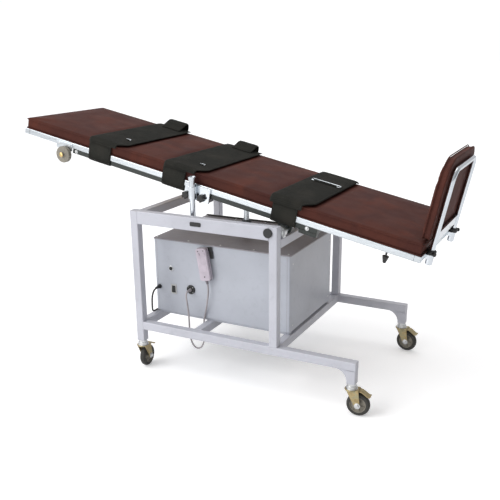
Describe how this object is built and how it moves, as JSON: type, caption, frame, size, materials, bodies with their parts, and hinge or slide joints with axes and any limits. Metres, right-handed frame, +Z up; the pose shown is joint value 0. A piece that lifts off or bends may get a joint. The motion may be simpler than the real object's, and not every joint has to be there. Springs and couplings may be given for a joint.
{
  "type": "tilt table",
  "caption": "Powered tilt table: padded top with straps, footboard and side clamp, pivoted on a castored tube frame over an actuator housing with a hanging handset.",
  "frame": {"origin": "on the floor under the middle of the table's whole length, on the middle plane", "axes": "+X towards the foot end, +Y to the far side, +Z up"},
  "size_m": [2.0387, 0.9062, 1.1292],
  "materials": {
    "frame_paint": "satin",
    "housing_paint": "satin",
    "lid_paint": "matt",
    "black_paint": "satin",
    "bright_steel": "satin",
    "chrome": "polished",
    "zinc_yellow": "passivated",
    "zinc_white": "passivated",
    "tyre_rubber": "matt",
    "vinyl": "grained",
    "webbing": "woven",
    "plywood": "plain",
    "black_plastic": "moulded",
    "grey_nylon": "turned",
    "handset_plastic": "moulded",
    "motor_paint": "satin",
    "cord_grey": "smooth",
    "cord_black": "smooth"
  },
  "bodies": {
    "base": {"near_side_frame": "frame_paint", "far_side_frame": "frame_paint", "head_top_rail": "frame_paint", "foot_top_rail": "frame_paint", "head_base_rail": "frame_paint", "middle_base_rail": "frame_paint", "foot_base_rail": "frame_paint", "castor_stems": "zinc_white", "pivot_brackets": "zinc_white", "housing_shell": "housing_paint", "housing_lid": "lid_paint", "power_unit": "motor_paint", "panel_fittings": "black_plastic", "frame_plugs": "black_plastic", "handset_hook": "black_plastic", "handset_cord": "cord_grey", "mains_cord": "cord_black", "mains_coil": "cord_black", "mains_plug": "black_plastic"},
    "table": {"subframe": "black_paint", "edge_frame": "bright_steel", "top_board": "plywood", "cushion": "vinyl", "chest_strap": "webbing", "hip_strap": "webbing", "knee_strap": "webbing", "strap_buckles": "bright_steel", "pivot_shaft": "bright_steel", "clevis_pin": "bright_steel", "head_roller_brackets": "bright_steel", "footboard_sockets": "chrome"},
    "actuator_rod": {"actuator_rod": "bright_steel"},
    "actuator_barrel": {"actuator_barrel": "motor_paint", "gear_motor": "motor_paint"},
    "handset": {"handset_case": "handset_plastic"},
    "button_up": {"button_up": "handset_plastic"},
    "button_down": {"button_down": "handset_plastic"},
    "rocker": {"rocker_switch": "black_plastic"},
    "reset": {"reset_button": "black_plastic"},
    "footboard": {"footboard_frame": "chrome", "footboard_pad": "vinyl"},
    "foot_knob": {"foot_knob": "black_plastic"},
    "clamp": {"clamp_block": "chrome"},
    "pole": {"clamp_pole": "chrome"},
    "rail_knob": {"rail_knob": "black_plastic"},
    "pole_knob": {"pole_knob": "black_plastic"},
    "roller_near": {"head_roller_near": "grey_nylon"},
    "roller_far": {"head_roller_far": "grey_nylon"},
    "castor_1": {"castor_fork_1": "zinc_yellow"},
    "wheel_1": {"castor_wheel_1": "tyre_rubber"},
    "pedal_1": {"castor_pedal_1": "zinc_yellow"},
    "castor_2": {"castor_fork_2": "zinc_yellow"},
    "wheel_2": {"castor_wheel_2": "tyre_rubber"},
    "pedal_2": {"castor_pedal_2": "zinc_yellow"},
    "castor_3": {"castor_fork_3": "zinc_yellow"},
    "wheel_3": {"castor_wheel_3": "tyre_rubber"},
    "pedal_3": {"castor_pedal_3": "zinc_yellow"},
    "castor_4": {"castor_fork_4": "zinc_yellow"},
    "wheel_4": {"castor_wheel_4": "tyre_rubber"},
    "pedal_4": {"castor_pedal_4": "zinc_yellow"}
  },
  "joints": [
    {"name": "table_tilt", "type": "hinge", "parent": "base", "child": "table", "pos_m": [0.34689, 0, 0.73], "axis": [0, 1, 0], "range_deg": [-11.5, 68.5]},
    {"name": "actuator_swing", "type": "hinge", "parent": "table", "child": "actuator_rod", "pos_m": [0.02152, 0, 0.78599], "axis": [0, 1, 0], "range_deg": [-52, 9]},
    {"name": "actuator_stroke", "type": "slide", "parent": "actuator_rod", "child": "actuator_barrel", "axis": [-0.0012, 0, -1], "range_m": [-0.057, 0.33]},
    {"name": "handset_lift", "type": "slide", "parent": "base", "child": "handset", "axis": [-0.165, 0, 0.9863], "range_m": [0, 0.035]},
    {"name": "button_up_press", "type": "slide", "parent": "handset", "child": "button_up", "axis": [0, 1, 0], "range_m": [0, 0.002], "stiffness_N_per_m": 400, "springref_m": -0.002},
    {"name": "button_down_press", "type": "slide", "parent": "handset", "child": "button_down", "axis": [0, 1, 0], "range_m": [0, 0.002], "stiffness_N_per_m": 400, "springref_m": -0.002},
    {"name": "rocker_flip", "type": "hinge", "parent": "base", "child": "rocker", "pos_m": [-0.23911, -0.244, 0.368], "axis": [1, 0, 0], "range_deg": [0, 14]},
    {"name": "reset_press", "type": "slide", "parent": "base", "child": "reset", "axis": [0, 1, 0], "range_m": [0, 0.003], "stiffness_N_per_m": 500, "springref_m": -0.002},
    {"name": "footboard_lift", "type": "slide", "parent": "table", "child": "footboard", "axis": [0.1994, 0, 0.9799], "range_m": [0, 0.035]},
    {"name": "foot_knob_turn", "type": "hinge", "parent": "table", "child": "foot_knob", "pos_m": [0.78109, -0.277, 0.66717], "axis": [0.1994, 0, 0.9799], "continuous": true},
    {"name": "clamp_slide", "type": "slide", "parent": "table", "child": "clamp", "axis": [0.9799, 0, -0.1994], "range_m": [-0.006, 0.24]},
    {"name": "pole_slide", "type": "slide", "parent": "clamp", "child": "pole", "axis": [0, 0, 1], "range_m": [-0.02, 0.06]},
    {"name": "rail_knob_turn", "type": "hinge", "parent": "clamp", "child": "rail_knob", "pos_m": [-0.11538, -0.309, 0.84038], "axis": [0, 1, 0], "continuous": true},
    {"name": "pole_knob_turn", "type": "hinge", "parent": "clamp", "child": "pole_knob", "pos_m": [-0.03971, -0.309, 0.83111], "axis": [0, 1, 0], "continuous": true},
    {"name": "roller_near_spin", "type": "hinge", "parent": "table", "child": "roller_near", "pos_m": [-0.77723, -0.307, 0.97299], "axis": [0, 1, 0], "continuous": true},
    {"name": "roller_far_spin", "type": "hinge", "parent": "table", "child": "roller_far", "pos_m": [-0.77723, 0.307, 0.97299], "axis": [0, 1, 0], "continuous": true},
    {"name": "castor_swivel_1", "type": "hinge", "parent": "base", "child": "castor_1", "pos_m": [-0.34211, -0.368, 0.115], "axis": [0, 0, 1], "continuous": true},
    {"name": "wheel_spin_1", "type": "hinge", "parent": "castor_1", "child": "wheel_1", "pos_m": [-0.34472, -0.33811, 0.05], "axis": [-0.9962, -0.0872, 0], "continuous": true},
    {"name": "brake_1", "type": "hinge", "parent": "castor_1", "child": "pedal_1", "pos_m": [-0.34524, -0.33214, 0.1135], "axis": [-0.9962, -0.0872, 0], "range_deg": [0, 12]},
    {"name": "castor_swivel_2", "type": "hinge", "parent": "base", "child": "castor_2", "pos_m": [-0.34211, 0.368, 0.115], "axis": [0, 0, 1], "continuous": true},
    {"name": "wheel_spin_2", "type": "hinge", "parent": "castor_2", "child": "wheel_2", "pos_m": [-0.32711, 0.34202, 0.05], "axis": [0.866, 0.5, 0], "continuous": true},
    {"name": "brake_2", "type": "hinge", "parent": "castor_2", "child": "pedal_2", "pos_m": [-0.32411, 0.33682, 0.1135], "axis": [0.866, 0.5, 0], "range_deg": [0, 12]},
    {"name": "castor_swivel_3", "type": "hinge", "parent": "base", "child": "castor_3", "pos_m": [0.69389, -0.368, 0.115], "axis": [0, 0, 1], "continuous": true},
    {"name": "wheel_spin_3", "type": "hinge", "parent": "castor_3", "child": "wheel_3", "pos_m": [0.72378, -0.36539, 0.05], "axis": [-0.0872, 0.9962, 0], "continuous": true},
    {"name": "brake_3", "type": "hinge", "parent": "castor_3", "child": "pedal_3", "pos_m": [0.72976, -0.36486, 0.1135], "axis": [-0.0872, 0.9962, 0], "range_deg": [0, 12]},
    {"name": "castor_swivel_4", "type": "hinge", "parent": "base", "child": "castor_4", "pos_m": [0.69389, 0.368, 0.115], "axis": [0, 0, 1], "continuous": true},
    {"name": "wheel_spin_4", "type": "hinge", "parent": "castor_4", "child": "wheel_4", "pos_m": [0.72378, 0.36539, 0.05], "axis": [0.0872, 0.9962, 0], "continuous": true},
    {"name": "brake_4", "type": "hinge", "parent": "castor_4", "child": "pedal_4", "pos_m": [0.72976, 0.36486, 0.1135], "axis": [0.0872, 0.9962, 0], "range_deg": [0, 12]}
  ],
  "couplings": [
    {"joint": "actuator_swing", "follows": "table_tilt", "ratio": -0.7518},
    {"joint": "actuator_stroke", "follows": "table_tilt", "m_per_rad": 0.2729}
  ]
}
